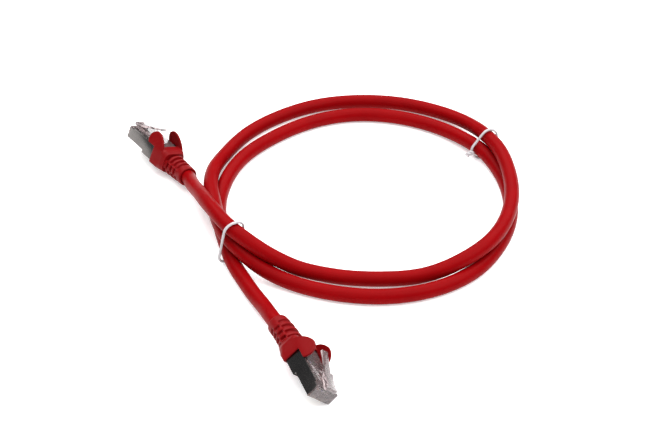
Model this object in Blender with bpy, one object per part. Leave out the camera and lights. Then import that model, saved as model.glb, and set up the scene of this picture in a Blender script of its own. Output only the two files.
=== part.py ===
"""Shielded modular patch cable, one metre tip to tip, laid in two loose turns under two wire ties.

The cable and both plugs lie on the plane z = 0. Each plug is modelled once in its own frame
(+X forwards out of its nose, +Z towards its latch, origin under the nose at the level of the
shield's floor) and placed by an empty, whose pose is the plug's pose on the table.
"""

import math

import bmesh
import bpy
import numpy as np
from mathutils import Euler, Vector

MM = 0.001

# Cable: screened, four foiled pairs, 6.3 mm over the jacket.
JACKET_R = 3.15 * MM
JACKET_WALL = 0.70 * MM
SCREEN_R = 2.28 * MM
SCREEN_WALL = 0.20 * MM
PAIR_R = 0.68 * MM
PAIR_OFFSET = 1.06 * MM
PAIR_LAY = 0.22
CABLE_STEPS = 70
CABLE_START = -23.2 * MM

# Plug body: the 8-way modular plug, 11.68 mm wide and 6.45 mm tall at the nose.
PLUG_HALF_W = 5.84 * MM
NOSE_LOW = 1.15 * MM
NOSE_HIGH = 7.60 * MM
BODY_BACK = -21.4 * MM
STEP_X = -12.0 * MM
SHEET = 0.25 * MM
GAP = 0.10 * MM
FLANGE_Z = 7.15 * MM
FLANGE_IN = 4.75 * MM
SHIELD_FRONT = -0.70 * MM
SHIELD_BACK = -21.8 * MM

# Contacts and conductors: eight at the standard 1.02 mm pitch.
PITCH = 1.02 * MM
CONTACT_T = 0.35 * MM
SLOT_W = 0.50 * MM
WIRE_R = 0.41 * MM
WIRE_Z = 4.90 * MM
FAN_START = -22.7 * MM
FAN_END = -15.0 * MM
WIRE_TIP = -2.4 * MM
BAR_FRONT = -9.6 * MM
BAR_BACK = -13.8 * MM

# Latch: a lever that springs up from the nose; HINGE is its flexing root.
HINGE_X = -1.5 * MM
HINGE_Z = 7.75 * MM
LATCH_HALF_W = 3.05 * MM
LEVER_HALF_W = 1.60 * MM

# Boot: a soft hood over the plug's back, two ears beside the lever and a ribbed tail.
CABLE_Z = 2.60 * MM
BOOT_FRONT = -19.0 * MM
TAIL_START = -27.0 * MM
BOOT_END = -40.5 * MM
BOOT_HALF_W = 6.60 * MM
BORE_R = 3.30 * MM
CHAMBER_R = 3.95 * MM
COLLAR_R = 4.00 * MM

# One ear: how thick it is, how far it leans inwards as it rises, and from where. Its side view
# is a lobe and a sweep down to the tail: arc centre, radius, and first and last angle in degrees.
EAR_T = 1.20 * MM
EAR_LEAN = 0.27
EAR_FOOT = 7.30 * MM
EAR_FRONT = -14.50 * MM
EAR_BACK = -24.40 * MM
EAR_LOBE = ((-17.60 * MM, 9.40 * MM), 3.80 * MM, -20, 110)
EAR_SWEEP = ((-15.80 * MM, 4.50 * MM), 9.00 * MM, 118, 160)

# Wire ties.
TIE_R = 0.55 * MM
TIE_CLEARANCE = 0.30 * MM
TIE_SPREAD = 2.40 * MM

# The point of the layout below that is the object's origin.
MIDDLE = (-0.0030, -0.0141, 0.0)

# Plug poses on the table: heading, nose-up pitch and roll in degrees, then the origin in metres.
PLUG_POSES = {
    "a": (129.8, 4.0, 24.0, (-0.0851, 0.0504, 0.0053)),
    "b": (-67.2, -5.6, -46.5, (-0.0034, -0.1137, 0.0037)),
}

# How far each boot's tail bends with its cable, and which way in the plug's frame, in degrees:
# 0 is the plug's left and 90 is its latch side.
TAIL_BENDS = {"a": (18.0, 33.0), "b": (14.0, -75.0)}

# The free run of the cable, plug a to plug b, in metres: out of boot a, over the bundle, twice
# round the loop and out of the bundle to boot b.
ROUTE = [
    (-0.0572, 0.0124, 0.0088),
    (-0.0542, 0.0040, 0.0114),
    (-0.0514, -0.0036, 0.0140),
    (-0.0486, -0.0110, 0.0160),
    (-0.0452, -0.0182, 0.0174),
    (-0.0416, -0.0248, 0.0179),
    (-0.0374, -0.0302, 0.0175),
    (-0.0315, -0.0347, 0.0155),
    (-0.0248, -0.0377, 0.0121),
    (-0.0179, -0.0397, 0.0088),
    (-0.0106, -0.0412, 0.0060),
    (-0.0020, -0.0424, 0.0042),
    (0.0080, -0.0437, 0.0033),
    (0.0245, -0.0446, 0.0033),
    (0.0400, -0.0436, 0.0046),
    (0.0540, -0.0393, 0.0080),
    (0.0656, -0.0305, 0.0101),
    (0.0741, -0.0161, 0.0101),
    (0.0787, 0.0010, 0.0100),
    (0.0792, 0.0200, 0.0100),
    (0.0758, 0.0385, 0.0098),
    (0.0726, 0.0468, 0.0090),
    (0.0679, 0.0575, 0.0067),
    (0.0610, 0.0672, 0.0048),
    (0.0520, 0.0749, 0.0036),
    (0.0370, 0.0816, 0.0032),
    (0.0165, 0.0840, 0.0032),
    (-0.0038, 0.0804, 0.0032),
    (-0.0210, 0.0710, 0.0032),
    (-0.0352, 0.0573, 0.0032),
    (-0.0448, 0.0388, 0.0042),
    (-0.0484, 0.0265, 0.0060),
    (-0.0491, 0.0160, 0.0076),
    (-0.0479, 0.0041, 0.0093),
    (-0.0463, -0.0043, 0.0099),
    (-0.0448, -0.0124, 0.0105),
    (-0.0427, -0.0203, 0.0110),
    (-0.0394, -0.0275, 0.0109),
    (-0.0346, -0.0339, 0.0099),
    (-0.0289, -0.0387, 0.0074),
    (-0.0226, -0.0424, 0.0050),
    (-0.0150, -0.0462, 0.0036),
    (0.0030, -0.0529, 0.0032),
    (0.0230, -0.0551, 0.0032),
    (0.0422, -0.0511, 0.0032),
    (0.0592, -0.0404, 0.0032),
    (0.0710, -0.0241, 0.0032),
    (0.0778, -0.0055, 0.0032),
    (0.0789, 0.0142, 0.0032),
    (0.0752, 0.0322, 0.0034),
    (0.0705, 0.0417, 0.0044),
    (0.0642, 0.0502, 0.0042),
    (0.0575, 0.0576, 0.0035),
    (0.0490, 0.0640, 0.0032),
    (0.0314, 0.0712, 0.0032),
    (0.0115, 0.0724, 0.0032),
    (-0.0073, 0.0661, 0.0032),
    (-0.0233, 0.0543, 0.0032),
    (-0.0361, 0.0391, 0.0032),
    (-0.0432, 0.0207, 0.0032),
    (-0.0450, 0.0020, 0.0032),
    (-0.0441, -0.0072, 0.0036),
    (-0.0427, -0.0154, 0.0043),
    (-0.0408, -0.0231, 0.0045),
    (-0.0386, -0.0310, 0.0043),
    (-0.0358, -0.0383, 0.0038),
    (-0.0325, -0.0450, 0.0034),
    (-0.0284, -0.0534, 0.0036),
    (-0.0240, -0.0622, 0.0048),
]

# Ties: a point in the middle of the bundle and the way its short twisted tail points.
TIES = {
    "tie_left": ((-0.0355, -0.0290, 0.0095), (0.55, 0.75, -0.6)),
    "tie_right": ((0.0712, 0.0440, 0.0055), (-0.75, -0.6, -0.1)),
}

WIRE_COLOURS = {
    "white_orange": (0.80, 0.55, 0.36),
    "orange": (0.75, 0.22, 0.03),
    "white_green": (0.55, 0.72, 0.52),
    "blue": (0.03, 0.10, 0.50),
    "white_blue": (0.52, 0.60, 0.78),
    "green": (0.04, 0.32, 0.08),
    "white_brown": (0.66, 0.55, 0.46),
    "brown": (0.16, 0.07, 0.03),
}
# The pair each contact's conductor belongs to, and its place in that pair.
WIRE_PAIRS = (
    ("orange", -1), ("orange", 1), ("green", -1), ("blue", -1),
    ("blue", 1), ("green", 1), ("brown", -1), ("brown", 1),
)
# Where each pair lies round the cable's axis as it enters a plug, in degrees.
PAIR_ANGLES = {"brown": 0.0, "blue": 90.0, "orange": 180.0, "green": 270.0}


def clear_scene():
    for obj in list(bpy.data.objects):
        bpy.data.objects.remove(obj, do_unlink=True)


def material(name, colour, roughness, metallic=0.0, clear=0.0):
    """A Principled material; clear is how much light the plastic lets through."""
    made = bpy.data.materials.new(name)
    made.use_nodes = True
    shader = made.node_tree.nodes["Principled BSDF"]
    shader.inputs["Base Color"].default_value = (*colour, 1.0)
    shader.inputs["Roughness"].default_value = roughness
    shader.inputs["Metallic"].default_value = metallic
    shader.inputs["Transmission Weight"].default_value = clear
    return made


def all_materials():
    found = {
        "jacket": material("jacket_red", (0.56, 0.012, 0.018), 0.42),
        "boot": material("boot_red", (0.48, 0.012, 0.018), 0.50),
        "clear": material("clear_plastic", (0.80, 0.74, 0.74), 0.12, clear=0.8),
        "shield": material("plated_steel", (0.62, 0.60, 0.58), 0.30, metallic=1.0),
        "gold": material("gold_contact", (0.85, 0.62, 0.25), 0.25, metallic=1.0),
        "screen": material("tinned_braid", (0.60, 0.60, 0.62), 0.45, metallic=1.0),
        "foil": material("pair_foil", (0.75, 0.76, 0.78), 0.30, metallic=1.0),
        "tie": material("white_tie", (0.78, 0.79, 0.80), 0.45),
    }
    for name, colour in WIRE_COLOURS.items():
        found[name] = material("wire_" + name, colour, 0.40)
    return found


def put(name, data, mat, parent=None, location=(0.0, 0.0, 0.0)):
    """An object of this mesh or curve, in the scene and under its parent."""
    obj = bpy.data.objects.new(name, data)
    obj.location = location
    obj.parent = parent
    if not data.materials:
        data.materials.append(mat)
    bpy.context.scene.collection.objects.link(obj)
    return obj


def mesh_of(build):
    """A mesh from a function that fills a bmesh, with its faces turned outwards."""
    bm = bmesh.new()
    build(bm)
    bmesh.ops.recalc_face_normals(bm, faces=bm.faces)
    mesh = bpy.data.meshes.new("shape")
    bm.to_mesh(mesh)
    bm.free()
    return mesh


def prism(outline, low, high, axis="Y"):
    """The outline, in (x, z) for axis Y and (y, z) for axis X, extruded from low to high."""
    def place(across, point):
        if axis == "Y":
            return (point[0], across, point[1])
        return (across, point[0], point[1])

    def build(bm):
        ends = [[bm.verts.new(place(end, p)) for p in outline] for end in (low, high)]
        count = len(outline)
        for i in range(count):
            j = (i + 1) % count
            bm.faces.new((ends[0][i], ends[0][j], ends[1][j], ends[1][i]))
        bm.faces.new(ends[0])
        bm.faces.new(ends[1])

    return mesh_of(build)


def block(x0, x1, y0, y1, z0, z1):
    return prism([(x0, z0), (x1, z0), (x1, z1), (x0, z1)], y0, y1)


def loft(sections):
    """A closed skin over a list of equal rings of points, capped at both ends."""
    def build(bm):
        rings = [[bm.verts.new(p) for p in ring] for ring in sections]
        count = len(rings[0])
        for first, second in zip(rings, rings[1:]):
            for i in range(count):
                j = (i + 1) % count
                bm.faces.new((first[i], first[j], second[j], second[i]))
        bm.faces.new(rings[0])
        bm.faces.new(rings[-1])

    return mesh_of(build)


def solid(base, joined=(), cut=()):
    """The base mesh with some meshes joined to it and others cut away."""
    helpers = []

    def helper(mesh):
        obj = bpy.data.objects.new("helper", mesh)
        bpy.context.scene.collection.objects.link(obj)
        helpers.append(obj)
        return obj

    body = helper(base)
    steps = [(m, "UNION") for m in joined] + [(m, "DIFFERENCE") for m in cut]
    for mesh, operation in steps:
        modifier = body.modifiers.new("Boolean", "BOOLEAN")
        modifier.operation = operation
        modifier.solver = "EXACT"
        modifier.object = helper(mesh)
    graph = bpy.context.evaluated_depsgraph_get()
    result = bpy.data.meshes.new_from_object(body.evaluated_get(graph))
    result.materials.clear()
    for obj in helpers:
        bpy.data.objects.remove(obj, do_unlink=True)
    return result


def spline(points, steps):
    """The natural cubic spline through the points, steps places to each span."""
    pts = np.array(points, dtype=float)
    gaps = np.linalg.norm(np.diff(pts, axis=0), axis=1)
    size = len(pts)
    matrix = np.eye(size)
    wanted = np.zeros((size, 3))
    for i in range(1, size - 1):
        matrix[i, i - 1:i + 2] = gaps[i - 1], 2 * (gaps[i - 1] + gaps[i]), gaps[i]
        ahead = (pts[i + 1] - pts[i]) / gaps[i]
        behind = (pts[i] - pts[i - 1]) / gaps[i - 1]
        wanted[i] = 6 * (ahead - behind)
    bend = np.linalg.solve(matrix, wanted)
    curve = []
    for i in range(size - 1):
        right = np.arange(steps)[:, None] / steps
        left = 1.0 - right
        part = left * pts[i] + right * pts[i + 1]
        part += (left**3 - left) * bend[i] * gaps[i]**2 / 6
        part += (right**3 - right) * bend[i + 1] * gaps[i]**2 / 6
        curve.append(part)
    return np.vstack(curve + [pts[-1:]])


def evenly(curve, count):
    """count points evenly spaced along a dense curve."""
    run = np.concatenate([[0.0], np.cumsum(np.linalg.norm(np.diff(curve, axis=0), axis=1))])
    even = np.linspace(0.0, run[-1], count)
    return np.stack([np.interp(even, run, curve[:, k]) for k in range(3)], axis=1)


def frames(points, side):
    """Tangents and two cross directions along a curve, carried along without twisting."""
    tangents = np.gradient(points, axis=0)
    tangents /= np.linalg.norm(tangents, axis=1)[:, None]
    across = np.array(side, dtype=float)
    first, second = [], []
    for tangent in tangents:
        across = across - tangent * np.dot(across, tangent)
        across /= np.linalg.norm(across)
        first.append(across)
        second.append(np.cross(tangent, across))
    return tangents, np.array(first), np.array(second)


def tube(name, points, radius, mat, resolution=2, wall=0.0, parent=None):
    """A round tube along the points: solid with flat ends, or hollow with open ends."""
    curve = bpy.data.curves.new(name, "CURVE")
    curve.dimensions = "3D"
    spline = curve.splines.new("POLY")
    spline.points.add(len(points) - 1)
    for point, place in zip(spline.points, points):
        point.co = (*place, 1.0)
    curve.bevel_depth = radius
    curve.bevel_resolution = resolution
    curve.use_fill_caps = wall == 0.0
    obj = put(name, curve, mat, parent)
    if wall:
        hollow = obj.modifiers.new("Wall", "SOLIDIFY")
        hollow.thickness = wall
        hollow.offset = -1.0
    return obj


# ---------------------------------------------------------------- the plug's solids

def contact_y(index):
    """Contact 1 is on the right when the latch is up and the nose points away."""
    return (index - 3.5) * PITCH


def housing_mesh():
    """Clear body: nose, stepped belly, ridge between the shield's flanges, and its hollows."""
    inner = PLUG_HALF_W - SHEET - GAP
    belly = NOSE_LOW - 0.60 * MM
    low_part = prism([
        (-0.2 * MM, NOSE_LOW + 0.5 * MM), (-0.7 * MM, NOSE_LOW),
        (STEP_X, NOSE_LOW), (STEP_X, belly), (BODY_BACK, belly),
        (BODY_BACK, FLANGE_Z - SHEET - GAP), (-0.2 * MM, FLANGE_Z - SHEET - GAP),
    ], -inner, inner)
    nose = prism([
        (0.0, NOSE_LOW + 0.45 * MM), (-0.40 * MM, NOSE_LOW), (-0.60 * MM, NOSE_LOW),
        (-0.60 * MM, 6.60 * MM), (0.0, 6.60 * MM),
    ], -PLUG_HALF_W, PLUG_HALF_W)
    ridge_w = FLANGE_IN - GAP
    ridge = prism([
        (-0.1 * MM, 6.00 * MM), (-0.1 * MM, 6.62 * MM), (-2.8 * MM, NOSE_HIGH),
        (BODY_BACK + 0.2 * MM, NOSE_HIGH), (BODY_BACK + 0.2 * MM, 6.00 * MM),
    ], -ridge_w, ridge_w)
    hollows = [
        block(BODY_BACK - 1 * MM, -14.2 * MM, -4.70 * MM, 4.70 * MM, 0.70 * MM, 6.40 * MM),
        block(-14.6 * MM, -9.2 * MM, -4.40 * MM, 4.40 * MM, 3.95 * MM, 5.75 * MM),
        block(-9.6 * MM, -2.0 * MM, -4.20 * MM, 4.20 * MM, 4.38 * MM, 5.42 * MM),
    ]
    for index in range(8):
        y = contact_y(index)
        hollows.append(block(
            -7.0 * MM, -0.9 * MM, y - SLOT_W / 2, y + SLOT_W / 2, 0.50 * MM, 4.70 * MM,
        ))
    return solid(low_part, joined=[nose, ridge], cut=hollows)


def shield_mesh():
    """Folded sheet: two tall sides with inturned flanges, and a floor behind the step."""
    out, inn = PLUG_HALF_W, PLUG_HALF_W - SHEET
    section = [
        (-FLANGE_IN, FLANGE_Z), (-out, FLANGE_Z), (-out, 0.0), (out, 0.0), (out, FLANGE_Z),
        (FLANGE_IN, FLANGE_Z), (FLANGE_IN, FLANGE_Z - SHEET), (inn, FLANGE_Z - SHEET),
        (inn, SHEET), (-inn, SHEET), (-inn, FLANGE_Z - SHEET), (-FLANGE_IN, FLANGE_Z - SHEET),
    ]
    wrap = prism(section, SHIELD_BACK, SHIELD_FRONT, axis="X")
    under_nose = block(
        STEP_X, 1 * MM, -9 * MM, 9 * MM, -1 * MM, NOSE_LOW + 0.15 * MM,
    )
    front_corner = prism([
        (-3.6 * MM, 9 * MM), (1 * MM, 9 * MM), (1 * MM, 6.35 * MM), (-3.0 * MM, 6.35 * MM),
    ], -9 * MM, 9 * MM)
    return solid(wrap, cut=[under_nose, front_corner])


def contact_mesh():
    """One blade, in the frame of the plug at y = 0: a rail below and two teeth above."""
    outline = [
        (-1.15 * MM, 1.75 * MM), (-1.75 * MM, 1.25 * MM), (-6.50 * MM, 1.25 * MM),
        (-6.75 * MM, 3.30 * MM), (-5.90 * MM, 3.30 * MM), (-5.55 * MM, 4.42 * MM),
        (-5.05 * MM, 3.30 * MM), (-3.70 * MM, 3.30 * MM), (-3.35 * MM, 4.42 * MM),
        (-2.85 * MM, 3.30 * MM), (-1.15 * MM, 3.00 * MM),
    ]
    return prism(outline, -CONTACT_T / 2, CONTACT_T / 2)


def load_bar_mesh():
    """The comb that keeps the conductors at the contacts' pitch."""
    base, top, floor = 4.10 * MM, 5.60 * MM, WIRE_Z - WIRE_R - 0.05 * MM
    half = WIRE_R + 0.03 * MM
    outline = [(-4.25 * MM, base), (4.25 * MM, base), (4.25 * MM, top)]
    for index in reversed(range(8)):
        y = contact_y(index)
        outline += [(y + half, top), (y + half, floor), (y - half, floor), (y - half, top)]
    outline.append((-4.25 * MM, top))
    return prism(outline, BAR_BACK, BAR_FRONT, axis="X")


def latch_mesh():
    """The lever about its hinge: a wide part with two locking shoulders, then a narrow tongue."""
    def about_hinge(outline):
        return [(x * MM - HINGE_X, z * MM - HINGE_Z) for x, z in outline]

    wide = prism(about_hinge([
        (0.55, 6.85), (-0.90, 7.15), (-2.60, 7.95), (-6.40, 9.05), (-6.40, 10.05),
        (-3.40, 8.95), (-2.00, 8.60), (0.70, 8.40),
    ]), -LATCH_HALF_W, LATCH_HALF_W)
    tongue = prism(about_hinge([
        (-5.80, 9.00), (-14.75, 12.20), (-14.90, 12.60), (-14.60, 13.00), (-5.80, 9.84),
    ]), -LEVER_HALF_W, LEVER_HALF_W)
    return solid(wide, joined=[tongue])


def rounded_ring(x, half_w, low, high, corner, steps=5):
    """Points round a rounded rectangle that lies across the plug at x."""
    centres = [
        (half_w - corner, high - corner, 0), (-half_w + corner, high - corner, 90),
        (-half_w + corner, low + corner, 180), (half_w - corner, low + corner, 270),
    ]
    ring = []
    for y, z, start in centres:
        for i in range(steps):
            angle = math.radians(start + 90 * i / (steps - 1))
            ring.append((x, y + corner * math.cos(angle), z + corner * math.sin(angle)))
    return ring


def boot_section(x, half_w, below, above, corner):
    """A ring of the boot, its sizes counted in millimetres from the cable's axis."""
    return rounded_ring(
        x * MM, half_w * MM, CABLE_Z - below * MM, CABLE_Z + above * MM, corner * MM,
    )


def arc(centre, radius, start, end, steps):
    turns = [math.radians(start + (end - start) * i / (steps - 1)) for i in range(steps)]
    return [(centre[0] + radius * math.cos(a), centre[1] + radius * math.sin(a)) for a in turns]


def ear_mesh(side):
    """One ear: a rounded flap over the body's top edge, leaning inwards as it rises."""
    outline = [(EAR_FRONT, EAR_FOOT)] + arc(*EAR_LOBE, 12) + arc(*EAR_SWEEP, 5)
    outline.append((EAR_BACK, EAR_FOOT))
    ear = prism(outline, side * (BOOT_HALF_W - EAR_T), side * BOOT_HALF_W)
    for vertex in ear.vertices:
        vertex.co.y -= side * EAR_LEAN * (vertex.co.z - EAR_FOOT)
    return ear


def bore_ring(x, radius, sides=16):
    """A circle round the cable's axis; its flats stay outside the radius."""
    reach = radius / math.cos(math.pi / sides)
    turn = [2 * math.pi * i / sides for i in range(sides)]
    return [(x, reach * math.cos(a), CABLE_Z + reach * math.sin(a)) for a in turn]


def bent(side, point):
    """Where a point of the straight boot, or of the cable in it, lies once the tail is bent."""
    x, y, z = point
    if x >= TAIL_START:
        return (x, y, z)
    amount, way = (math.radians(a) for a in TAIL_BENDS[side])
    radius = (TAIL_START - BOOT_END) / amount
    turn = (TAIL_START - x) / radius
    inward = y * math.cos(way) + (z - CABLE_Z) * math.sin(way)
    aside = (z - CABLE_Z) * math.cos(way) - y * math.sin(way)
    out = radius - (radius - inward) * math.cos(turn)
    return (
        TAIL_START - (radius - inward) * math.sin(turn),
        out * math.cos(way) - aside * math.sin(way),
        CABLE_Z + out * math.sin(way) + aside * math.cos(way),
    )


def boot_mesh(side):
    """Hood, ears and ribbed tail in one moulding, open at both ends."""
    sections = [
        boot_section(-19.0, 6.60, 3.3, 5.60, 0.5),
        boot_section(-21.4, 6.60, 3.3, 5.60, 0.6),
        boot_section(-23.0, 6.50, 4.5, 5.60, 2.4),
        boot_section(-25.4, 6.10, 4.8, 5.40, 3.2),
        boot_section(-26.9, 5.30, 4.7, 4.80, 3.8),
    ]
    x = -26.9
    for rib in range(4):
        swell = 5.10 - 0.22 * rib
        waist = 4.25 - 0.06 * rib
        for ahead, radius in ((0.6, waist), (1.1, swell), (2.4, swell), (2.9, waist)):
            sections.append(boot_section(x - ahead, radius, radius, radius, radius * 0.92))
        x -= 2.9
    end = COLLAR_R / MM
    sections.append(boot_section(x - 0.5, end, end, end, end * 0.98))
    sections.append(boot_section(BOOT_END / MM, end * 0.97, end * 0.97, end * 0.97, end * 0.95))
    outer = loft(sections)
    pocket_w = PLUG_HALF_W + GAP
    pocket = block(
        -22.9 * MM, BOOT_FRONT + 1 * MM, -pocket_w, pocket_w, -GAP, NOSE_HIGH + GAP,
    )
    finger_gap = block(
        -21.6 * MM, BOOT_FRONT + 1 * MM, -FLANGE_IN, FLANGE_IN, NOSE_HIGH, NOSE_HIGH + MM,
    )
    chamber = loft([bore_ring(-22.5 * MM, CHAMBER_R), bore_ring(-25.5 * MM, CHAMBER_R)])
    stations = (-24.0, -27.0, -30.4, -33.8, -37.2, -41.5)
    bore = loft([bore_ring(x * MM, BORE_R) for x in stations])
    ears = [ear_mesh(-1), ear_mesh(1)]
    moulding = solid(outer, joined=ears, cut=[pocket, finger_gap, chamber, bore])
    for vertex in moulding.vertices:
        vertex.co = bent(side, vertex.co)
    return moulding


def crimp_collar_mesh():
    """The ring that clamps the shield's earth to the cable's screen."""
    inner = JACKET_R + 0.10 * MM
    outer = loft([bore_ring(x, inner + 0.40 * MM) for x in (-23.1 * MM, -25.3 * MM)])
    hole = loft([bore_ring(x, inner) for x in (-22 * MM, -26 * MM)])
    return solid(outer, cut=[hole])


def wire_points(index):
    """One conductor, from its pair's end up through the comb to its contact."""
    pair, place = WIRE_PAIRS[index]
    angle = math.radians(PAIR_ANGLES[pair])
    start_y = PAIR_OFFSET * 1.35 * math.cos(angle) + place * 0.50 * MM
    start_z = CABLE_Z + PAIR_OFFSET * 1.35 * math.sin(angle)
    points = []
    for i in range(8):
        t = i / 7
        ease = t * t * (3 - 2 * t)
        points.append((
            FAN_START + (FAN_END - FAN_START) * t,
            start_y + (contact_y(index) - start_y) * ease,
            start_z + (WIRE_Z - start_z) * ease,
        ))
    points.append((WIRE_TIP, contact_y(index), WIRE_Z))
    return points


def plug(side, mats, meshes):
    """All the pieces of one plug under an empty at its pose."""
    heading, pitch, roll, origin = PLUG_POSES[side]
    empty = bpy.data.objects.new("plug_frame_" + side, None)
    turn = [math.radians(a) for a in (roll, -pitch, heading)]
    empty.rotation_euler = Euler(turn, "XYZ")
    empty.location = Vector(origin) - Vector(MIDDLE)
    bpy.context.scene.collection.objects.link(empty)
    put("housing_" + side, meshes["housing"], mats["clear"], empty)
    put("shield_" + side, meshes["shield"], mats["shield"], empty)
    put("boot_" + side, boot_mesh(side), mats["boot"], empty)
    put("load_bar_" + side, meshes["load_bar"], mats["clear"], empty)
    put("crimp_collar_" + side, meshes["crimp_collar"], mats["screen"], empty)
    put("latch_" + side, meshes["latch"], mats["clear"], empty, (HINGE_X, 0.0, HINGE_Z))
    for index, colour in enumerate(WIRE_COLOURS):
        number = str(index + 1)
        place = (0.0, contact_y(index), 0.0)
        put(f"contact_{side}{number}", meshes["contact"], mats["gold"], empty, place)
        tube(f"wire_{side}{number}", wire_points(index), WIRE_R, mats[colour], 1, parent=empty)
    return empty


def in_plug(side, point):
    """A point of one plug's frame, in the world."""
    heading, pitch, roll, origin = PLUG_POSES[side]
    turn = Euler([math.radians(a) for a in (roll, -pitch, heading)], "XYZ")
    return Vector(origin) - Vector(MIDDLE) + turn.to_matrix() @ Vector(point)


# ---------------------------------------------------------------- the cable and its ties

def cable_line(count):
    """The cable's middle line: as the boots hold it, and count places on the run between."""
    inner = (CABLE_START, TAIL_START, -30.4 * MM, -33.8 * MM, -37.2 * MM, BOOT_END)
    first, last = (
        [in_plug(side, bent(side, (x, 0.0, CABLE_Z))) for x in inner] for side in PLUG_POSES
    )
    last.reverse()
    free = [Vector(p) - Vector(MIDDLE) for p in ROUTE]
    steps = 24
    curve = spline(first + free + last, steps)
    inside = steps * (len(inner) - 1)
    run = evenly(curve[inside:-inside], count)
    run[:, 2] = np.maximum(run[:, 2], JACKET_R)
    return np.vstack([first[:-1], run, last[1:]])


def longer(line, by):
    """The line with both ends drawn out straight."""
    first, last = line[0] - line[1], line[-1] - line[-2]
    first *= by / np.linalg.norm(first)
    last *= by / np.linalg.norm(last)
    return np.vstack([line[0] + first, line[1:-1], line[-1] + last])


def cable(mats):
    line = cable_line(CABLE_STEPS)
    tube("cable_jacket", line, JACKET_R, mats["jacket"], 3, JACKET_WALL)
    tube("cable_screen", longer(line, 0.15 * MM), SCREEN_R, mats["screen"], 3, SCREEN_WALL)
    line = longer(line, 0.3 * MM)
    up = in_plug("a", (0.0, 0.0, 1.0)) - in_plug("a", (0.0, 0.0, 0.0))
    _, first, second = frames(line, up)
    length = np.linalg.norm(np.diff(line, axis=0), axis=1)
    along = np.concatenate([[0.0], np.cumsum(length)])
    whole_turns = round(along[-1] / PAIR_LAY)
    for pair, start in PAIR_ANGLES.items():
        angle = math.radians(start) + 2 * math.pi * whole_turns * along / along[-1]
        aside = np.cos(angle)[:, None] * second + np.sin(angle)[:, None] * first
        tube("pair_" + pair, line + PAIR_OFFSET * aside, PAIR_R, mats["foil"], 1)


def hull_ring(centres, reach, steps=26):
    """The loop of a taut band at this reach round some points of a plane, evenly spaced."""
    turn = [2 * math.pi * i / 24 for i in range(24)]
    cloud = sorted(
        (y + reach * math.cos(a), z + reach * math.sin(a)) for y, z in centres for a in turn
    )

    def half(points):
        chain = []
        for p in points:
            while len(chain) > 1:
                (ax, ay), (bx, by) = chain[-2], chain[-1]
                if (bx - ax) * (p[1] - ay) - (by - ay) * (p[0] - ax) > 0:
                    break
                chain.pop()
            chain.append(p)
        return chain[:-1]

    hull = np.array(half(cloud) + half(cloud[::-1]))
    closed = np.vstack([hull, hull[:1]])
    run = np.concatenate([[0.0], np.cumsum(np.linalg.norm(np.diff(closed, axis=0), axis=1))])
    even = np.linspace(0.0, run[-1], steps, endpoint=False)
    return np.stack([np.interp(even, run, closed[:, k]) for k in range(2)], axis=1)


def tie(name, line, mats):
    """One wire: round the bundle and out along both strands of its twisted tail."""
    middle, tail_way = (np.array(v) for v in TIES[name])
    middle = middle - np.array(MIDDLE)
    tangents, _, _ = frames(line, (0.0, 0.0, 1.0))
    near = [i for i in range(len(line)) if np.linalg.norm(line[i] - middle) < 0.014]
    runs = np.split(near, np.where(np.diff(near) > 1)[0] + 1)
    axis = np.zeros(3)
    for run in runs:
        heading = tangents[run].mean(axis=0)
        axis += heading * np.sign(np.dot(heading, axis) + 1e-9)
    axis /= np.linalg.norm(axis)
    across = np.cross((0.0, 0.0, 1.0), axis)
    across /= np.linalg.norm(across)
    rise = np.cross(axis, across)
    centres = []
    for run in runs:
        best = run[np.argmin(np.abs((line[run] - middle) @ axis))]
        aside = line[best] - middle
        aside = aside - tangents[best] * (aside @ axis) / (tangents[best] @ axis)
        for along in (-TIE_SPREAD, TIE_SPREAD):
            spot = aside + tangents[best] * along
            centres.append((spot @ across, spot @ rise))
    ring = hull_ring(centres, JACKET_R + TIE_CLEARANCE + TIE_R)
    loop = middle + ring[:, :1] * across + ring[:, 1:] * rise
    tail_way = tail_way / np.linalg.norm(tail_way)
    start = int(np.argmax((loop - middle) @ tail_way))
    loop = np.roll(loop, -start, axis=0)
    apart = axis * TIE_R * 1.12
    out = [loop[0] + tail_way * d * MM for d in (3.6, 1.8)]
    ends = [p + apart for p in out], [p - apart for p in reversed(out)]
    lean = np.linspace(1.0, -1.0, len(loop) + 1)[:, None]
    body = np.vstack([loop, loop[:1]]) + lean * apart
    points = np.vstack([ends[0], body, ends[1]])
    points[:, 2] = np.maximum(points[:, 2], TIE_R)
    tube(name, points, TIE_R, mats["tie"], 1)


def main():
    clear_scene()
    mats = all_materials()
    meshes = {
        "housing": housing_mesh(),
        "shield": shield_mesh(),
        "load_bar": load_bar_mesh(),
        "crimp_collar": crimp_collar_mesh(),
        "latch": latch_mesh(),
        "contact": contact_mesh(),
    }
    for side in PLUG_POSES:
        plug(side, mats, meshes)
    cable(mats)
    line = cable_line(900)
    for name in TIES:
        tie(name, line, mats)


main()
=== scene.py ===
"""The looks of a shielded patch cable, laid in two loose turns on a pale studio floor.

Each plug is described in its own frame, in millimetres: +X forwards out of its nose, +Z towards
its latch, origin under the nose at the level of the shield's floor.
"""

import math

import bmesh
import bpy
import numpy as np
from mathutils import Euler, Matrix, Vector


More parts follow.
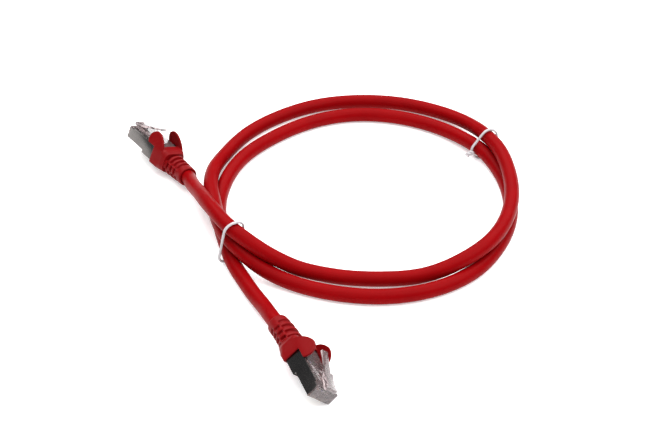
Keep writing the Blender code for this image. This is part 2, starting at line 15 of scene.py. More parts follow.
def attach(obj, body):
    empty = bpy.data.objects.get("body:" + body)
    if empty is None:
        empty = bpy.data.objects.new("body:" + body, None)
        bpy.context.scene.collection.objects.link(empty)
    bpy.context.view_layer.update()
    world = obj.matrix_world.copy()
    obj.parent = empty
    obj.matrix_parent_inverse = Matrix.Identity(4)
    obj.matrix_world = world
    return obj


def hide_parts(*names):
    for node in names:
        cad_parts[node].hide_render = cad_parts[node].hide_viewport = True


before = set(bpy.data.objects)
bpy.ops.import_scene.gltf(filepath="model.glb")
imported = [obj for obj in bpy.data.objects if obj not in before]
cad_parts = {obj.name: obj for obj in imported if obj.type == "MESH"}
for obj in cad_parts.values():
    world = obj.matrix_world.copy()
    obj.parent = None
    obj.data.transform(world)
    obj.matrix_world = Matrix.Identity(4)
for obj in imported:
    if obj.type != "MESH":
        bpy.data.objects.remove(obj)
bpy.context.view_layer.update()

MM = 0.001
ROOT = "cable"

# The layout, as the part has it: its origin, both plugs' poses and how each boot's tail bends.
MIDDLE = Vector((-0.0030, -0.0141, 0.0))
PLUG_POSES = {
    "a": (129.8, 4.0, 24.0, (-0.0851, 0.0504, 0.0053)),
    "b": (-67.2, -5.6, -46.5, (-0.0034, -0.1137, 0.0037)),
}
TAIL_BENDS = {"a": (18.0, 33.0), "b": (14.0, -75.0)}
ROUTE = [
    (-0.0572, 0.0124, 0.0088),
    (-0.0542, 0.0040, 0.0114),
    (-0.0514, -0.0036, 0.0140),
    (-0.0486, -0.0110, 0.0160),
    (-0.0452, -0.0182, 0.0174),
    (-0.0416, -0.0248, 0.0179),
    (-0.0374, -0.0302, 0.0175),
    (-0.0315, -0.0347, 0.0155),
    (-0.0248, -0.0377, 0.0121),
    (-0.0179, -0.0397, 0.0088),
    (-0.0106, -0.0412, 0.0060),
    (-0.0020, -0.0424, 0.0042),
    (0.0080, -0.0437, 0.0033),
    (0.0245, -0.0446, 0.0033),
    (0.0400, -0.0436, 0.0046),
    (0.0540, -0.0393, 0.0080),
    (0.0656, -0.0305, 0.0101),
    (0.0741, -0.0161, 0.0101),
    (0.0787, 0.0010, 0.0100),
    (0.0792, 0.0200, 0.0100),
    (0.0758, 0.0385, 0.0098),
    (0.0726, 0.0468, 0.0090),
    (0.0679, 0.0575, 0.0067),
    (0.0610, 0.0672, 0.0048),
    (0.0520, 0.0749, 0.0036),
    (0.0370, 0.0816, 0.0032),
    (0.0165, 0.0840, 0.0032),
    (-0.0038, 0.0804, 0.0032),
    (-0.0210, 0.0710, 0.0032),
    (-0.0352, 0.0573, 0.0032),
    (-0.0448, 0.0388, 0.0042),
    (-0.0484, 0.0265, 0.0060),
    (-0.0491, 0.0160, 0.0076),
    (-0.0479, 0.0041, 0.0093),
    (-0.0463, -0.0043, 0.0099),
    (-0.0448, -0.0124, 0.0105),
    (-0.0427, -0.0203, 0.0110),
    (-0.0394, -0.0275, 0.0109),
    (-0.0346, -0.0339, 0.0099),
    (-0.0289, -0.0387, 0.0074),
    (-0.0226, -0.0424, 0.0050),
    (-0.0150, -0.0462, 0.0036),
    (0.0030, -0.0529, 0.0032),
    (0.0230, -0.0551, 0.0032),
    (0.0422, -0.0511, 0.0032),
    (0.0592, -0.0404, 0.0032),
    (0.0710, -0.0241, 0.0032),
    (0.0778, -0.0055, 0.0032),
    (0.0789, 0.0142, 0.0032),
    (0.0752, 0.0322, 0.0034),
    (0.0705, 0.0417, 0.0044),
    (0.0642, 0.0502, 0.0042),
    (0.0575, 0.0576, 0.0035),
    (0.0490, 0.0640, 0.0032),
    (0.0314, 0.0712, 0.0032),
    (0.0115, 0.0724, 0.0032),
    (-0.0073, 0.0661, 0.0032),
    (-0.0233, 0.0543, 0.0032),
    (-0.0361, 0.0391, 0.0032),
    (-0.0432, 0.0207, 0.0032),
    (-0.0450, 0.0020, 0.0032),
    (-0.0441, -0.0072, 0.0036),
    (-0.0427, -0.0154, 0.0043),
    (-0.0408, -0.0231, 0.0045),
    (-0.0386, -0.0310, 0.0043),
    (-0.0358, -0.0383, 0.0038),
    (-0.0325, -0.0450, 0.0034),
    (-0.0284, -0.0534, 0.0036),
    (-0.0240, -0.0622, 0.0048),
]

# Ties: a point in the middle of the bundle, and the way in which the short twisted ends point.
TIES = {
    "tie_left": ((-0.0355, -0.0290, 0.0095), (0.55, 0.75, -0.6)),
    "tie_right": ((0.0712, 0.0440, 0.0055), (-0.75, -0.6, -0.1)),
}

# Sizes shared with the part, in millimetres.
JACKET_R = 3.15
PLUG_HALF_W = 5.84
CABLE_Z = 2.60
CABLE_START = -23.2
BOOT_FRONT = -19.0
TAIL_START = -27.0
BOOT_END = -40.5
BORE_R = 3.30
TIE_R = 0.55
TIE_CLEARANCE = 0.30
TIE_SPREAD = 2.40

# The boot's hood in millimetres: across the plug at each x, its half width, its lowest and highest
# level, and the radii of its upper and lower corners.
HOOD_RINGS = (
    (BOOT_FRONT, 6.60, -0.70, 8.20, 0.55, 0.55),
    (-21.8, 6.60, -0.95, 8.20, 0.70, 0.90),
    (-22.9, 6.56, -1.60, 8.20, 1.00, 2.00),
    (-23.6, 6.53, -1.72, 8.18, 1.20, 2.70),
    (-25.4, 6.40, -1.80, 8.05, 1.70, 3.60),
    (-26.9, 5.70, -1.90, 7.40, 2.60, 3.80),
)

# What is cut out of the boot: a pocket for the plug, open above it between the ears, then a
# chamber for the crimp collar and a bore for the cable, each starting inside the hole before it.
CUT_FRONT = -18.0
POCKET_END = -22.9
POCKET_HALF_W = PLUG_HALF_W + 0.10
POCKET_LEVELS = (-0.10, 7.70)
GAP_END = -21.6
GAP_HALF_W = 5.40
GAP_LEVELS = (7.60, 8.60)
CHAMBER_R = 3.68
CHAMBER_ENDS = (-22.8, -25.4)
BORE_ENDS = (-24.0, -41.5)

# The ears: their side view is a lobe and a sweep down to the tail, each an arc's centre, radius,
# first and last angle in degrees and number of points. Each ear lies between EAR_IN and EAR_OUT
# from the middle, and leans inwards from LEAN_FOOT up, with an eased bend about that level.
EAR_FOOT = 7.0
EAR_FRONT = -14.5
EAR_BACK = -24.4
EAR_LOBE = ((-17.6, 9.4), 3.8, -20, 110, 12)
EAR_SWEEP = ((-15.8, 4.5), 9.0, 118, 160, 7)
EAR_OUT = 6.6
EAR_IN = 5.4
EAR_LEAN = 0.27
LEAN_FOOT = 7.3
LEAN_EASE = 2.0

# The hood is this much narrower where the tail begins. It draws in between the first two places
# behind the nose, and is back to its width between the last two.
NARROWING = 0.06
NARROW_ON = (19.0, 25.0)
NARROW_OFF = (26.0, 28.0)

# The boot's tail in millimetres: where its skin starts inside the hood, its radius at TAIL_START
# and how that grows with x, and how finely it is drawn along and round.
TAIL_ROOT = -26.4
TAIL_R = 4.95
TAIL_TAPER = 0.050
TAIL_STEP = 0.14
TAIL_SIDES = 144

# Slots cross the tail's top and bottom, and windows lie between them at its sides. A HALF is half
# of the width at the surface, and an EDGE the width of the slope on each side. SLOT_TURN is the
# sine of the angle from the tail's side at which a slot begins, and at which it is at full depth.
# WINDOW_TURN is the cosine of that angle for a window. The tail's last RIM_LENGTH drops inwards.
RIB_PITCH = 2.95
SLOT_COUNT = 4
FIRST_SLOT = TAIL_START - 0.5
SLOT_HALF = 1.00
SLOT_EDGE = 0.45
SLOT_TURN = (0.30, 0.50)
SLOT_DEPTH = 1.35
SLOT_FLOOR = 0.25
WINDOW_HALF = 0.80
WINDOW_EDGE = 0.35
WINDOW_TURN = (0.94, 0.98)
RIM_DROP = 0.35
RIM_LENGTH = 0.5

# The size of the voxels that melt a boot's pieces into one, and how often its skin is eased.
VOXEL = 0.15
EASE_PASSES = 3

# A tie's twisted ends: their length in millimetres, how many turns they make round each other,
# and how far each lies from the twist's middle, in wire radii. BUNDLE_REACH, in metres, is how
# far from the tie's middle a strand may be and still be tied.
TWIST_LENGTH = 3.6
TWIST_TURNS = 1.1
TWIST_APART = 1.12
BUNDLE_REACH = 0.014

# How many points draw the cable's free run: for its surface, and to place the ties by.
JACKET_POINTS = 560
TIE_POINTS = 900

# The camera looks down at the table's middle from its front: degrees, metres, millimetres.
CAMERA_TILT = 38.0
CAMERA_REACH = 0.5951
CAMERA_LENS = 77.54

# Square lights: place and size in metres, power in watts. All look at the origin.
LIGHTS = {
    "top": ((0.05, 0.25, 1.00), 2.0, 46.0),
    "side": ((0.80, -0.35, 0.80), 0.8, 5.0),
    "front": ((-0.30, -0.90, 0.70), 0.5, 2.4),
}
SKY = (0.86, 0.92, 1.0, 1.0)
SKY_STRENGTH = 0.19
FLOOR_HALF = 4.0
FLOOR_GLOW = 0.35

# The conductors' insulation, from contact 1 to contact 8.
WIRE_COLOURS = (
    (0.80, 0.55, 0.36), (0.75, 0.22, 0.03), (0.55, 0.72, 0.52), (0.03, 0.10, 0.50),
    (0.52, 0.60, 0.78), (0.04, 0.32, 0.08), (0.66, 0.55, 0.46), (0.16, 0.07, 0.03),
)


# ---------------------------------------------------------------- places

def plug_matrix(side):
    """Plug frame in millimetres to the row frame in metres."""
    heading, pitch, roll, origin = PLUG_POSES[side]
    turn = Euler([math.radians(a) for a in (roll, -pitch, heading)], "XYZ").to_matrix().to_4x4()
    return Matrix.Translation(Vector(origin) - MIDDLE) @ turn @ Matrix.Scale(MM, 4)


def bent(side, points):
    """Where points of the straight boot, or of the cable in it, lie once the tail is bent."""
    points = np.atleast_2d(np.array(points, dtype=float))
    x, y, z = points.T
    amount, way = (math.radians(a) for a in TAIL_BENDS[side])
    radius = (TAIL_START - BOOT_END) / amount
    turn = (TAIL_START - x) / radius
    inward = y * math.cos(way) + (z - CABLE_Z) * math.sin(way)
    aside = (z - CABLE_Z) * math.cos(way) - y * math.sin(way)
    out = radius - (radius - inward) * np.cos(turn)
    moved = np.stack([
        TAIL_START - (radius - inward) * np.sin(turn),
        out * math.cos(way) - aside * math.sin(way),
        CABLE_Z + out * math.sin(way) + aside * math.cos(way),
    ], axis=1)
    return np.where((x >= TAIL_START)[:, None], points, moved)


def spline(points, steps):
    """The natural cubic spline through the points, steps places to each span."""
    pts = np.array(points, dtype=float)
    gaps = np.linalg.norm(np.diff(pts, axis=0), axis=1)
    size = len(pts)
    matrix = np.eye(size)
    wanted = np.zeros((size, 3))
    for i in range(1, size - 1):
        matrix[i, i - 1:i + 2] = gaps[i - 1], 2 * (gaps[i - 1] + gaps[i]), gaps[i]
        ahead = (pts[i + 1] - pts[i]) / gaps[i]
        behind = (pts[i] - pts[i - 1]) / gaps[i - 1]
        wanted[i] = 6 * (ahead - behind)
    bend = np.linalg.solve(matrix, wanted)
    curve = []
    for i in range(size - 1):
        right = np.arange(steps)[:, None] / steps
        left = 1.0 - right
        part = left * pts[i] + right * pts[i + 1]
        part += (left**3 - left) * bend[i] * gaps[i]**2 / 6
        part += (right**3 - right) * bend[i + 1] * gaps[i]**2 / 6
        curve.append(part)
    return np.vstack(curve + [pts[-1:]])


def evenly(curve, count):
    """This many points, evenly spaced along a dense curve."""
    run = np.concatenate([[0.0], np.cumsum(np.linalg.norm(np.diff(curve, axis=0), axis=1))])
    even = np.linspace(0.0, run[-1], count)
    return np.stack([np.interp(even, run, curve[:, k]) for k in range(3)], axis=1)


def cable_line(count):
    """The cable's middle line in metres: as the boots hold it, and the free run between."""
    inner = [(x, 0.0, CABLE_Z) for x in np.linspace(CABLE_START, BOOT_END, 9)]
    first, last = (
        [plug_matrix(side) @ Vector(p) for p in bent(side, inner)] for side in PLUG_POSES
    )
    last.reverse()
    free = [Vector(p) - MIDDLE for p in ROUTE]
    steps = 24
    curve = spline(first + free + last, steps)
    inside = steps * (len(inner) - 1)
    run = evenly(curve[inside:-inside], count)
    run[:, 2] = np.maximum(run[:, 2], JACKET_R * MM)
    return np.vstack([first[:-1], run, last[1:]])


# ---------------------------------------------------------------- camera, floor and light

def camera_and_light():
    """The photograph's view, a pale sky and three soft lamps."""
    scene = bpy.context.scene
    tilt = math.radians(CAMERA_TILT)
    data = bpy.data.cameras.new("camera")
    data.lens = CAMERA_LENS
    data.clip_start = 0.05
    camera = bpy.data.objects.new("camera", data)
    reach = Vector((0.0, -math.cos(tilt), math.sin(tilt))) * CAMERA_REACH
    camera.location = reach - MIDDLE
    camera.rotation_euler = (math.pi / 2 - tilt, 0.0, 0.0)
    scene.collection.objects.link(camera)
    scene.camera = camera

    scene.view_settings.view_transform = "Standard"
    world = bpy.data.worlds.new("studio")
    world.use_nodes = True
    background = world.node_tree.nodes["Background"]
    background.inputs["Color"].default_value = SKY
    background.inputs["Strength"].default_value = SKY_STRENGTH
    scene.world = world

    for name, (place, size, power) in LIGHTS.items():
        light = bpy.data.lights.new(name, "AREA")
        light.size = size
        light.energy = power
        lamp = bpy.data.objects.new(name, light)
        lamp.location = place
        lamp.rotation_euler = (-Vector(place)).to_track_quat("-Z", "Y").to_euler()
        scene.collection.objects.link(lamp)


def floor():
    """The table, a flat square far larger than the view."""
    data = bpy.data.meshes.new("floor")
    half = FLOOR_HALF
    corners = [(-half, -half, 0), (half, -half, 0), (half, half, 0), (-half, half, 0)]
    data.from_pydata(corners, [], [(0, 1, 2, 3)])
    obj = bpy.data.objects.new("floor", data)
    bpy.context.scene.collection.objects.link(obj)
    data.materials.append(MATERIALS["floor"])


# ---------------------------------------------------------------- materials

class Nodes:
    """A material's nodes, made and joined in one line each. Lengths are in metres."""

    def __init__(self, name):
        self.material = bpy.data.materials.new(name)
        self.material.use_nodes = True
        self.tree = self.material.node_tree
        self.shader = self.tree.nodes["Principled BSDF"]
        self.place = self.add("ShaderNodeTexCoord").outputs["Object"]

    def add(self, kind, links=()):
        node = self.tree.nodes.new(kind)
        for socket, source in links:
            self.tree.links.new(source, node.inputs[socket])
        return node

    def stretched(self, scale):
        """The place in the object, scaled along each axis."""
        node = self.add("ShaderNodeMapping", [("Vector", self.place)])
        node.inputs["Scale"].default_value = scale
        return node.outputs["Vector"]

    def noise(self, scale, detail=3.0, source=None):
        """Noise with this many features to the metre."""
        node = self.add("ShaderNodeTexNoise", [("Vector", source or self.place)])
        node.inputs["Scale"].default_value = scale
        node.inputs["Detail"].default_value = detail
        return node.outputs["Fac"]

    def between(self, source, low, high):
        """A factor from 0 to 1, mapped to low to high."""
        node = self.add("ShaderNodeMapRange", [("Value", source)])
        node.inputs["To Min"].default_value = low
        node.inputs["To Max"].default_value = high
        return node.outputs["Result"]

    def colours(self, source, *stops):
        """A ramp of colours, each stop a place from 0 to 1 and a colour."""
        node = self.add("ShaderNodeValToRGB", [("Fac", source)])
        ramp = node.color_ramp
        while len(ramp.elements) < len(stops):
            ramp.elements.new(0.5)
        for element, (place, colour) in zip(ramp.elements, stops):
            element.position = place
            element.color = (*colour, 1.0)
        return node.outputs["Color"]

    def bump(self, height, distance, strength):
        """A normal for a surface that rises by this distance."""
        node = self.add("ShaderNodeBump", [("Height", height)])
        node.inputs["Distance"].default_value = distance
        node.inputs["Strength"].default_value = strength
        return node.outputs["Normal"]

    def wire(self, **sources):
        """Links to the shader's sockets, an underscore standing for a space."""
        for socket, source in sources.items():
            self.tree.links.new(source, self.shader.inputs[socket.replace("_", " ")])

    def fixed(self, **values):
        """Constants on the shader's sockets."""
        for socket, value in values.items():
            self.shader.inputs[socket.replace("_", " ")].default_value = value


def pvc(name, dark, light, rough, grain, grain_depth, shine=0.30):
    """Soft coloured plastic: a faint mottle, a satin finish and fine grain."""
    n = Nodes(name)
    mottle = n.noise(90.0, 4.0)
    sheen = n.noise(420.0, 2.0)
    n.wire(
        Base_Color=n.colours(mottle, (0.30, dark), (0.70, light)),
        Roughness=n.between(sheen, rough - 0.05, rough + 0.05),
        Normal=n.bump(n.noise(grain, 2.0), grain_depth, 0.6),
    )
    n.fixed(IOR=1.46, Specular_IOR_Level=shine)
    return n.material


def clear_plastic(name, tint):
    """Tinted clear plastic with faint flow lines along the plug."""
    n = Nodes(name)
    flow = n.noise(700.0, 2.0, n.stretched((0.35, 1.0, 1.0)))
    n.wire(
        Base_Color=n.colours(n.noise(160.0), (0.3, tint), (0.7, tuple(1.06 * c for c in tint))),
        Roughness=n.between(flow, 0.04, 0.10),
        Normal=n.bump(flow, 2e-5, 0.5),
    )
    n.fixed(Transmission_Weight=0.85, IOR=1.50, Specular_IOR_Level=0.30)
    return n.material


def metal(name, colour, rough, stretch=(1.0, 1.0, 1.0), depth=4e-6):
    """Bare metal with a fine grain, which stretch can draw out to a brushed one."""
    n = Nodes(name)
    grain = n.noise(1500.0, 4.0, n.stretched(stretch))
    dull = tuple(0.86 * c for c in colour)
    n.wire(
        Base_Color=n.colours(n.noise(260.0), (0.3, dull), (0.7, colour)),
        Roughness=n.between(grain, rough - 0.06, rough + 0.06),
        Normal=n.bump(grain, depth, 0.6),
    )
    n.fixed(Metallic=1.0)
    return n.material


def braid(name):
    """Tinned braid: two sets of crossing strands."""
    n = Nodes(name)
    strands = []
    for lean in (1.0, -1.0):
        wave = n.add("ShaderNodeTexWave", [("Vector", n.stretched((900.0, 900.0 * lean, 900.0)))])
        wave.inputs["Scale"].default_value = 1.0
        wave.inputs["Distortion"].default_value = 0.4
        wave.bands_direction = "DIAGONAL"
        strands.append(wave.outputs["Fac"])
    both = n.add("ShaderNodeMath")
    both.operation = "MAXIMUM"
    for socket, source in zip(both.inputs, strands):
        n.tree.links.new(source, socket)
    woven = both.outputs["Value"]
    n.wire(
        Base_Color=n.colours(woven, (0.1, (0.22, 0.22, 0.23)), (0.6, (0.66, 0.66, 0.68))),
        Roughness=n.between(woven, 0.5, 0.3),
        Normal=n.bump(woven, 8e-5, 0.8),
    )
    n.fixed(Metallic=1.0)
    return n.material


def floor_material():
    """A white table that glows faintly, which leaves little of the shadows on it."""
    n = Nodes("studio_floor")
    whites = (0.3, (0.90, 0.90, 0.90)), (0.7, (0.92, 0.92, 0.92))
    n.wire(Base_Color=n.colours(n.noise(2.0), *whites))
    n.fixed(Roughness=0.7, Emission_Color=(1.0, 1.0, 1.0, 1.0), Emission_Strength=FLOOR_GLOW)
    return n.material


def all_materials():
    """Every material by a short name. The lamps are bright, so colours are darker than real."""
    found = {
        "floor": floor_material(),
        "jacket": pvc(
            "red_jacket", (0.180, 0.001, 0.002), (0.205, 0.001, 0.002), 0.36, 2600.0, 2e-5, 0.03,
        ),
        "boot": pvc(
            "red_boot", (0.150, 0.001, 0.002), (0.172, 0.002, 0.003), 0.42, 3800.0, 3e-5, 0.09,
        ),
        "clear": clear_plastic("clear_polycarbonate", (0.43, 0.35, 0.35)),
        "shield": metal("plated_shield", (0.122, 0.112, 0.107), 0.24, (0.15, 1.0, 1.0)),
        "gold": metal("gold_contact", (0.86, 0.62, 0.24), 0.22),
        "foil": metal("pair_foil", (0.76, 0.77, 0.79), 0.30, depth=3e-5),
        "braid": braid("tinned_braid"),
        "tie": pvc("white_tie", (0.42, 0.40, 0.41), (0.48, 0.46, 0.47), 0.38, 2500.0, 2e-5),
    }
    for index, colour in enumerate(WIRE_COLOURS):
        dark = tuple(0.9 * c for c in colour)
        name = f"insulation_{index + 1}"
        found[f"wire_{index + 1}"] = pvc(name, dark, colour, 0.35, 3000.0, 1e-5)
    return found


# ---------------------------------------------------------------- making pieces

def piece(name, data, mat, replaces, body=ROOT, matrix=None):
    """An object of this mesh or curve, riding on a body in place of some CAD nodes."""
    obj = bpy.data.objects.new(name, data)
    if matrix:
        obj.matrix_world = matrix
    bpy.context.scene.collection.objects.link(obj)
    data.materials.clear()
    data.materials.append(mat)
    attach(obj, body)
    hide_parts(*replaces)
    return obj


def smooth(mesh):
    """Shades every face of the mesh smooth."""
    mesh.polygons.foreach_set("use_smooth", [True] * len(mesh.polygons))


def tube_curve(name, points, radius, resolution):
    """A curve through the points in metres, as thick as the radius and closed at its ends."""
    curve = bpy.data.curves.new(name, "CURVE")
    curve.dimensions = "3D"
    line = curve.splines.new("POLY")
    line.points.add(len(points) - 1)
    line.points.foreach_set("co", np.hstack([points, np.ones((len(points), 1))]).ravel())
    line.use_smooth = True
    curve.bevel_depth = radius
    curve.bevel_resolution = resolution
    curve.use_fill_caps = True
    return curve


def eased(node, side, name, mat, width, body=ROOT):
    """A CAD node again, with its flat faces made whole and its edges rounded."""
    to_plug = (plug_matrix(side) @ Matrix.Scale(1 / MM, 4)).inverted()
    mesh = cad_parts[node].data.copy()
    mesh.transform(to_plug)
    same_place = 1e-6
    flat = math.radians(1.5)
    bm = bmesh.new()
    bm.from_mesh(mesh)
    bmesh.ops.remove_doubles(bm, verts=bm.verts, dist=same_place)
    bmesh.ops.dissolve_limit(bm, angle_limit=flat, verts=bm.verts, edges=bm.edges)
    bm.to_mesh(mesh)
    bm.free()
    smooth(mesh)
    obj = piece(name, mesh, mat, [node], body, plug_matrix(side) @ Matrix.Scale(1 / MM, 4))
    bevel = obj.modifiers.new("Bevel", "BEVEL")
    bevel.width = width * MM
    bevel.segments = 2
    bevel.limit_method = "ANGLE"
    bevel.angle_limit = math.radians(25)
    bevel.harden_normals = True


def loft(rings):
    """A closed skin over equal rings of points, capped at both ends."""
    count = len(rings[0])
    faces = [tuple(range(count))[::-1], tuple(range((len(rings) - 1) * count, len(rings) * count))]
    for r in range(len(rings) - 1):
        for i in range(count):
            j = (i + 1) % count
            faces.append((r * count + i, r * count + j, (r + 1) * count + j, (r + 1) * count + i))
    mesh = bpy.data.meshes.new("loft")
    mesh.from_pydata([tuple(p) for ring in rings for p in ring], [], faces)
    return outwards(mesh)


def outwards(mesh):
    """The mesh with all its faces turned to look out."""
    bm = bmesh.new()
    bm.from_mesh(mesh)
    bmesh.ops.recalc_face_normals(bm, faces=bm.faces)
    bm.to_mesh(mesh)
    bm.free()
    return mesh


def prism(outline, low, high):
    """A side view's outline, in (x, z), extruded from low to high across the plug."""
    return loft([[(x, y, z) for x, z in outline] for y in (low, high)])


def block(x0, x1, half_w, z0, z1):
    """A box, centred across the plug."""
    return prism([(x0, z0), (x1, z0), (x1, z1), (x0, z1)], -half_w, half_w)


def arc(centre, radius, start, end, steps):
    """Points along an arc between two angles in degrees."""
    turns = [math.radians(start + (end - start) * i / (steps - 1)) for i in range(steps)]
    return [(centre[0] + radius * math.cos(a), centre[1] + radius * math.sin(a)) for a in turns]


def moulded(base, joined, cut, voxel, passes):
    """One soft moulding: meshes joined to the base, others cut away, and every edge eased.

    The joins and cuts are modifiers on a helper object. Only its final mesh is kept.
    """
    helpers = []

    def helper(mesh):
        obj = bpy.data.objects.new("helper", mesh)
        bpy.context.scene.collection.objects.link(obj)
        helpers.append(obj)
        return obj

    body = helper(base)
    for mesh, operation in [(m, "UNION") for m in joined] + [(m, "DIFFERENCE") for m in cut]:
        modifier = body.modifiers.new("Boolean", "BOOLEAN")
        modifier.operation = operation
        modifier.solver = "EXACT"
        modifier.object = helper(mesh)
    remesh = body.modifiers.new("Remesh", "REMESH")
    remesh.mode = "VOXEL"
    remesh.voxel_size = voxel
    ease = body.modifiers.new("Ease", "SMOOTH")
    ease.factor = 0.5
    ease.iterations = passes
    result = bpy.data.meshes.new_from_object(
        body.evaluated_get(bpy.context.evaluated_depsgraph_get())
    )
    for obj in helpers:
        bpy.data.objects.remove(obj, do_unlink=True)
    return result


def placed(mesh, side, name, mat, replaces, move):
    """A mesh in the plug's millimetres as a piece, with its points moved first."""
    points = np.empty(len(mesh.vertices) * 3)
    mesh.vertices.foreach_get("co", points)
    points = move(points.reshape(-1, 3))
    mesh.vertices.foreach_set("co", (points * MM).ravel())
    smooth(mesh)
    matrix = plug_matrix(side) @ Matrix.Scale(1 / MM, 4)
    piece(name, mesh, mat, replaces, matrix=matrix)


# ---------------------------------------------------------------- boots

def ease_step(value, low, high):
    """0 below low, 1 above high, and a smooth step between."""
    part = np.clip((value - low) / (high - low), 0.0, 1.0)
    return part * part * (3 - 2 * part)


def tail_radius(x, turn):
    """The ribbed tail: slots above and below, and small windows between them at the sides."""
    radius = TAIL_R + (x - TAIL_START) * TAIL_TAPER
    slots, windows = 0.0, 0.0
    for k in range(SLOT_COUNT):
        from_slot = abs(x - FIRST_SLOT + k * RIB_PITCH)
        slots = slots + ease_step(SLOT_HALF - from_slot, 0.0, SLOT_EDGE)
    for k in range(SLOT_COUNT - 1):
        from_window = abs(x - FIRST_SLOT + (k + 0.5) * RIB_PITCH)
        windows = windows + ease_step(WINDOW_HALF - from_window, 0.0, WINDOW_EDGE)
    over = ease_step(abs(np.sin(turn)), *SLOT_TURN)
    beside = ease_step(abs(np.cos(turn)), *WINDOW_TURN)
    rim = 1 - ease_step(x, BOOT_END, BOOT_END + RIM_LENGTH)
    depth = min(SLOT_DEPTH, radius - BORE_R - SLOT_FLOOR)
    return radius - depth * (slots * over + windows * beside) - RIM_DROP * rim


def circle(x, radius, steps=64):
    """A ring round the cable at x, whose flats stay outside the radius."""
    turn = np.linspace(0, 2 * math.pi, steps, endpoint=False)
    rim = radius / math.cos(math.pi / steps)
    return [(x, rim * math.cos(a), CABLE_Z + rim * math.sin(a)) for a in turn]


def hood_ring(x, half_w, low, high, upper, lower):
    """A rectangle across the plug at x, with its upper and lower corners rounded."""
    ring = []
    for side, level, corner, start in (
        (1, high, upper, 0), (-1, high, upper, 90), (-1, low, lower, 180), (1, low, lower, 270),
    ):
        y = side * (half_w - corner)
        z = level - corner if level > low else level + corner
        ring += [(x, a, b) for a, b in arc((y, z), corner, start, start + 90, 7)]
    return ring


def boot(side):
    """Hood, two ears that lean together over the lever, and the bent ribbed tail."""
    hood = loft([hood_ring(*ring) for ring in HOOD_RINGS])
    turns = np.linspace(0, 2 * math.pi, TAIL_SIDES, endpoint=False)
    rings = []
    for x in np.append(np.arange(TAIL_ROOT, BOOT_END, -TAIL_STEP), BOOT_END):
        radius = tail_radius(x, turns)
        rings.append(np.stack([
            np.full_like(turns, x), radius * np.cos(turns), CABLE_Z + radius * np.sin(turns),
        ], axis=1))
    ear = [(EAR_FRONT, EAR_FOOT)] + arc(*EAR_LOBE) + arc(*EAR_SWEEP) + [(EAR_BACK, EAR_FOOT)]
    joined = [loft(rings), prism(ear, -EAR_OUT, -EAR_IN), prism(ear, EAR_IN, EAR_OUT)]
    cut = [
        block(POCKET_END, CUT_FRONT, POCKET_HALF_W, *POCKET_LEVELS),
        block(GAP_END, CUT_FRONT, GAP_HALF_W, *GAP_LEVELS),
        loft([circle(x, CHAMBER_R) for x in CHAMBER_ENDS]),
        loft([circle(x, BORE_R) for x in BORE_ENDS]),
    ]

    def shaped(points):
        """The ears leant inwards, the hood drawn in before the tail, and the tail bent."""
        x, z = points[:, 0], points[:, 2]
        eased_rise = np.maximum(z - LEAN_FOOT + LEAN_EASE, 0.0) ** 2 / (4 * LEAN_EASE)
        rise = np.where(z > LEAN_FOOT + LEAN_EASE, z - LEAN_FOOT, eased_rise)
        narrow = NARROWING * ease_step(-x, *NARROW_ON) * (1 - ease_step(-x, *NARROW_OFF))
        points[:, 1] *= 1 - narrow - EAR_LEAN * rise / EAR_OUT
        return bent(side, points)

    mesh = moulded(hood, joined, cut, VOXEL, EASE_PASSES)
    placed(mesh, side, f"boot_{side}_moulding", MATERIALS["boot"], ["boot_" + side], shaped)


# ---------------------------------------------------------------- cable, plugs and ties

def jacket():
    """The cable's surface, with where it leaves plug a and how long it is, in metres."""
    line = cable_line(JACKET_POINTS)
    curve = tube_curve("cable_jacket_surface", line, JACKET_R * MM, 8)
    obj = piece("cable_jacket_surface", curve, MATERIALS["jacket"], ["cable_jacket"])
    start = plug_matrix("a") @ Vector((CABLE_START, 0.0, CABLE_Z))
    length = float(np.linalg.norm(np.diff(line, axis=0), axis=1).sum())
    return obj, start, length


def plug(side):
    """The plug's pieces, each with its edges rounded by a width in millimetres."""
    clear = MATERIALS["clear"]
    latch = "latch_" + side
    eased("housing_" + side, side, f"housing_{side}_moulding", clear, 0.12)
    eased("shield_" + side, side, f"shield_{side}_sheet", MATERIALS["shield"], 0.06)
    eased("load_bar_" + side, side, f"load_bar_{side}_moulding", clear, 0.05)
    eased(latch, side, latch + "_moulding", clear, 0.15, latch)
    for index in range(1, 9):
        contact = f"contact_{side}{index}"
        eased(contact, side, contact + "_blade", MATERIALS["gold"], 0.05)


def headings(points):
    """Unit tangents along a curve."""
    tangents = np.gradient(points, axis=0)
    return tangents / np.linalg.norm(tangents, axis=1)[:, None]


def hull_ring(centres, reach, steps):
    """Evenly spaced points on the loop of a taut band, at this reach round points of a plane."""
    sides = 72
    turn = [2 * math.pi * i / sides for i in range(sides)]
    cloud = sorted(
        (y + reach * math.cos(a), z + reach * math.sin(a)) for y, z in centres for a in turn
    )

    def half(points):
        """One side of the convex outline of sorted points."""
        chain = []
        for p in points:
            while len(chain) > 1:
                (ax, ay), (bx, by) = chain[-2], chain[-1]
                if (bx - ax) * (p[1] - ay) - (by - ay) * (p[0] - ax) > 0:
                    break
                chain.pop()
            chain.append(p)
        return chain[:-1]

    hull = np.array(half(cloud) + half(cloud[::-1]))
    closed = np.vstack([hull, hull[:1]])
    run = np.concatenate([[0.0], np.cumsum(np.linalg.norm(np.diff(closed, axis=0), axis=1))])
    even = np.linspace(0.0, run[-1], steps, endpoint=False)
    return np.stack([np.interp(even, run, closed[:, k]) for k in range(2)], axis=1)


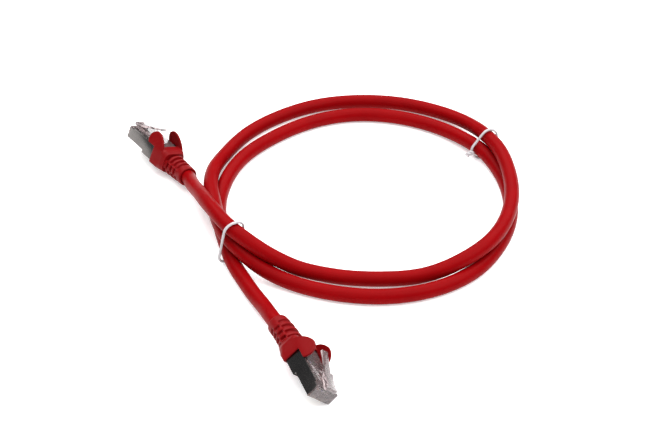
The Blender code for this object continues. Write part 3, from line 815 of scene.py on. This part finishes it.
def tie(name, line):
    """One coated wire: taut round the bundle, then its two ends twisted together."""
    middle, tail_way = (np.array(v) for v in TIES[name])
    middle = middle - np.array(MIDDLE)
    tangents = headings(line)
    near = [i for i in range(len(line)) if np.linalg.norm(line[i] - middle) < BUNDLE_REACH]
    runs = np.split(near, np.where(np.diff(near) > 1)[0] + 1)
    # Strands may run either way through the bundle, so each is turned to go with the rest.
    axis = np.zeros(3)
    for run in runs:
        heading = tangents[run].mean(axis=0)
        axis += heading * np.sign(np.dot(heading, axis) + 1e-9)
    axis /= np.linalg.norm(axis)
    across = np.cross((0.0, 0.0, 1.0), axis)
    across /= np.linalg.norm(across)
    rise = np.cross(axis, across)
    # Where each strand is just before and just after it crosses the tie's plane, at a slant.
    centres = []
    for run in runs:
        best = run[np.argmin(np.abs((line[run] - middle) @ axis))]
        aside = line[best] - middle
        aside = aside - tangents[best] * (aside @ axis) / (tangents[best] @ axis)
        for along in (-TIE_SPREAD, TIE_SPREAD):
            spot = aside + tangents[best] * along * MM
            centres.append((spot @ across, spot @ rise))
    ring = hull_ring(centres, (JACKET_R + TIE_CLEARANCE + TIE_R) * MM, 120)
    loop = middle + ring[:, :1] * across + ring[:, 1:] * rise
    tail_way = tail_way / np.linalg.norm(tail_way)
    start = int(np.argmax((loop - middle) @ tail_way))
    loop = np.roll(loop, -start, axis=0)
    apart = axis * TIE_R * TWIST_APART * MM
    beside = np.cross(tail_way, axis) * TIE_R * TWIST_APART * MM
    # Each end of the loop goes on into one of the twisted ends, on either side of its middle.
    out = []
    for step in np.linspace(0.0, 1.0, 17)[1:]:
        turn = 2 * math.pi * TWIST_TURNS * step
        out.append((
            loop[0] + tail_way * TWIST_LENGTH * MM * step,
            apart * math.cos(turn) + beside * math.sin(turn),
        ))
    lean = np.linspace(1.0, -1.0, len(loop) + 1)[:, None]
    body = np.vstack([loop, loop[:1]]) + lean * apart
    points = np.vstack([
        [p + q for p, q in reversed(out)], body, [p - q for p, q in out],
    ])
    points[:, 2] = np.maximum(points[:, 2], TIE_R * MM)
    curve = tube_curve(name + "_wire", points, TIE_R * MM, 4)
    piece(name + "_wire", curve, MATERIALS["tie"], [name])


def dress_nodes():
    """Materials for the CAD nodes that show as they are."""
    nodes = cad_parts
    dressed = {"cable_screen": "braid"}
    for pair in ("orange", "blue", "green", "brown"):
        dressed["pair_" + pair] = "foil"
    for side in PLUG_POSES:
        dressed["crimp_collar_" + side] = "shield"
        for index in range(1, 9):
            dressed[f"wire_{side}{index}"] = f"wire_{index}"
    for name, mat in dressed.items():
        nodes[name].data.materials.clear()
        nodes[name].data.materials.append(MATERIALS[mat])
        smooth(nodes[name].data)


MATERIALS = all_materials()
camera_and_light()
floor()
cord, cord_start, cord_length = jacket()
for side in PLUG_POSES:
    plug(side)
    boot(side)
for name in TIES:
    tie(name, cable_line(TIE_POINTS))
dress_nodes()
on_cord = [f"boot_{side}_moulding" for side in PLUG_POSES]
on_cord += [f"housing_{side}_moulding" for side in PLUG_POSES]
on_cord += [name + "_wire" for name in TIES]
